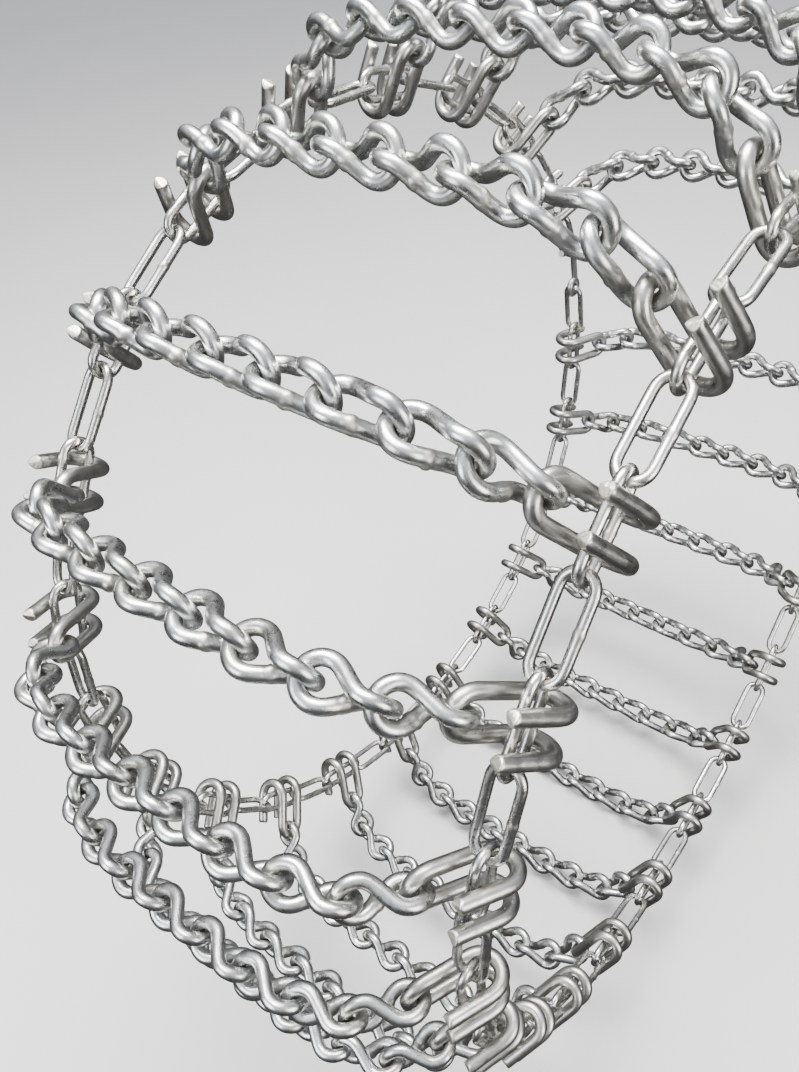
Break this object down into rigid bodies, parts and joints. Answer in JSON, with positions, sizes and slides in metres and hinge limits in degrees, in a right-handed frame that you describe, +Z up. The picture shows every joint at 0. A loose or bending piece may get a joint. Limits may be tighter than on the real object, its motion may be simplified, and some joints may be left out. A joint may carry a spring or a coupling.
{
  "type": "tire snow chain",
  "caption": "Ladder-type snow chain for a wide tyre: twisted-link cross chains held by bent hooks between two side chains, with an outer cam lever and an inner closing hook.",
  "frame": {"origin": "centre of the wheel that the chain is fitted round, midway between the two side chains", "axes": "+Y along the wheel axle towards the vehicle, so the outer side chain is at -Y; +Z up"},
  "size_m": [0.8008, 0.363, 0.7992],
  "materials": {
    "cross_chain": "bright zinc plated, welded links",
    "cross_hook": "zinc plated, duller, sheared ends",
    "side_chain": "bright zinc plated, welded links",
    "closing_hardware": "zinc plated forging"
  },
  "bodies": {
    "side_chains": {"outer_side_hooked_links": "side_chain", "outer_side_free_links": "side_chain", "inner_side_hooked_links": "side_chain", "inner_side_free_links": "side_chain"},
    "cross_01": {"cross_chain_01": "cross_chain", "cross_hooks_01": "cross_hook"},
    "cross_02": {"cross_chain_02": "cross_chain", "cross_hooks_02": "cross_hook"},
    "cross_03": {"cross_chain_03": "cross_chain", "cross_hooks_03": "cross_hook"},
    "cross_04": {"cross_chain_04": "cross_chain", "cross_hooks_04": "cross_hook"},
    "cross_05": {"cross_chain_05": "cross_chain", "cross_hooks_05": "cross_hook"},
    "cross_06": {"cross_chain_06": "cross_chain", "cross_hooks_06": "cross_hook"},
    "cross_07": {"cross_chain_07": "cross_chain", "cross_hooks_07": "cross_hook"},
    "cross_08": {"cross_chain_08": "cross_chain", "cross_hooks_08": "cross_hook"},
    "cross_09": {"cross_chain_09": "cross_chain", "cross_hooks_09": "cross_hook"},
    "cross_10": {"cross_chain_10": "cross_chain", "cross_hooks_10": "cross_hook"},
    "cross_11": {"cross_chain_11": "cross_chain", "cross_hooks_11": "cross_hook"},
    "cross_12": {"cross_chain_12": "cross_chain", "cross_hooks_12": "cross_hook"},
    "cross_13": {"cross_chain_13": "cross_chain", "cross_hooks_13": "cross_hook"},
    "cross_14": {"cross_chain_14": "cross_chain", "cross_hooks_14": "cross_hook"},
    "cross_15": {"cross_chain_15": "cross_chain", "cross_hooks_15": "cross_hook"},
    "cross_16": {"cross_chain_16": "cross_chain", "cross_hooks_16": "cross_hook"},
    "cross_17": {"cross_chain_17": "cross_chain", "cross_hooks_17": "cross_hook"},
    "cross_19": {"cross_chain_19": "cross_chain", "cross_hooks_19": "cross_hook"},
    "cross_20": {"cross_chain_20": "cross_chain", "cross_hooks_20": "cross_hook"},
    "cross_21": {"cross_chain_21": "cross_chain", "cross_hooks_21": "cross_hook"},
    "cross_22": {"cross_chain_22": "cross_chain", "cross_hooks_22": "cross_hook"},
    "lever": {"outer_lever": "closing_hardware"},
    "keeper": {"keeper_ring": "closing_hardware"},
    "closing_hook": {"inner_closing_hook": "closing_hardware"}
  },
  "joints": [
    {"name": "cross_01_rock", "type": "hinge", "parent": "side_chains", "child": "cross_01", "pos_m": [-0.02982, 0, 0.32363], "axis": [0, 1, 0], "range_deg": [-3, 3]},
    {"name": "cross_02_rock", "type": "hinge", "parent": "side_chains", "child": "cross_02", "pos_m": [-0.11978, 0, 0.30212], "axis": [0, 1, 0], "range_deg": [-3, 3]},
    {"name": "cross_03_rock", "type": "hinge", "parent": "side_chains", "child": "cross_03", "pos_m": [-0.20005, 0, 0.25614], "axis": [0, 1, 0], "range_deg": [-3, 3]},
    {"name": "cross_04_rock", "type": "hinge", "parent": "side_chains", "child": "cross_04", "pos_m": [-0.26411, 0, 0.1894], "axis": [0, 1, 0], "range_deg": [-3, 3]},
    {"name": "cross_05_rock", "type": "hinge", "parent": "side_chains", "child": "cross_05", "pos_m": [-0.30677, 0, 0.10732], "axis": [0, 1, 0], "range_deg": [-3, 3]},
    {"name": "cross_06_rock", "type": "hinge", "parent": "side_chains", "child": "cross_06", "pos_m": [-0.32458, 0, 0.01655], "axis": [0, 1, 0], "range_deg": [-3, 3]},
    {"name": "cross_07_rock", "type": "hinge", "parent": "side_chains", "child": "cross_07", "pos_m": [-0.31609, 0, -0.07557], "axis": [0, 1, 0], "range_deg": [-3, 3]},
    {"name": "cross_08_rock", "type": "hinge", "parent": "side_chains", "child": "cross_08", "pos_m": [-0.282, 0, -0.16156], "axis": [0, 1, 0], "range_deg": [-3, 3]},
    {"name": "cross_09_rock", "type": "hinge", "parent": "side_chains", "child": "cross_09", "pos_m": [-0.22506, 0, -0.23447], "axis": [0, 1, 0], "range_deg": [-3, 3]},
    {"name": "cross_10_rock", "type": "hinge", "parent": "side_chains", "child": "cross_10", "pos_m": [-0.14988, 0, -0.28837], "axis": [0, 1, 0], "range_deg": [-3, 3]},
    {"name": "cross_11_rock", "type": "hinge", "parent": "side_chains", "child": "cross_11", "pos_m": [-0.06257, 0, -0.31892], "axis": [0, 1, 0], "range_deg": [-3, 3]},
    {"name": "cross_12_rock", "type": "hinge", "parent": "side_chains", "child": "cross_12", "pos_m": [0.02982, 0, -0.32363], "axis": [0, 1, 0], "range_deg": [-3, 3]},
    {"name": "cross_13_rock", "type": "hinge", "parent": "side_chains", "child": "cross_13", "pos_m": [0.11978, 0, -0.30212], "axis": [0, 1, 0], "range_deg": [-3, 3]},
    {"name": "cross_14_rock", "type": "hinge", "parent": "side_chains", "child": "cross_14", "pos_m": [0.20005, 0, -0.25614], "axis": [0, 1, 0], "range_deg": [-3, 3]},
    {"name": "cross_15_rock", "type": "hinge", "parent": "side_chains", "child": "cross_15", "pos_m": [0.26411, 0, -0.1894], "axis": [0, 1, 0], "range_deg": [-3, 3]},
    {"name": "cross_16_rock", "type": "hinge", "parent": "side_chains", "child": "cross_16", "pos_m": [0.30677, 0, -0.10732], "axis": [0, 1, 0], "range_deg": [-3, 3]},
    {"name": "cross_17_rock", "type": "hinge", "parent": "side_chains", "child": "cross_17", "pos_m": [0.32458, 0, -0.01655], "axis": [0, 1, 0], "range_deg": [-3, 3]},
    {"name": "cross_19_rock", "type": "hinge", "parent": "side_chains", "child": "cross_19", "pos_m": [0.282, 0, 0.16156], "axis": [0, 1, 0], "range_deg": [-3, 3]},
    {"name": "cross_20_rock", "type": "hinge", "parent": "side_chains", "child": "cross_20", "pos_m": [0.22506, 0, 0.23447], "axis": [0, 1, 0], "range_deg": [-3, 3]},
    {"name": "cross_21_rock", "type": "hinge", "parent": "side_chains", "child": "cross_21", "pos_m": [0.14988, 0, 0.28837], "axis": [0, 1, 0], "range_deg": [-3, 3]},
    {"name": "cross_22_rock", "type": "hinge", "parent": "side_chains", "child": "cross_22", "pos_m": [0.06257, 0, 0.31892], "axis": [0, 1, 0], "range_deg": [-3, 3]},
    {"name": "lever_open", "type": "hinge", "parent": "side_chains", "child": "lever", "pos_m": [0.32123, -0.16282, 0.05585], "axis": [0, 1, 0], "range_deg": [0, 120]},
    {"name": "keeper_slide", "type": "slide", "parent": "side_chains", "child": "keeper", "axis": [-0.0917, 0, 0.9958], "range_m": [0, 0.012]},
    {"name": "closing_hook_swing", "type": "hinge", "parent": "side_chains", "child": "closing_hook", "pos_m": [0.32123, 0.16282, 0.05585], "axis": [0, 1, 0], "range_deg": [0, 70]}
  ]
}
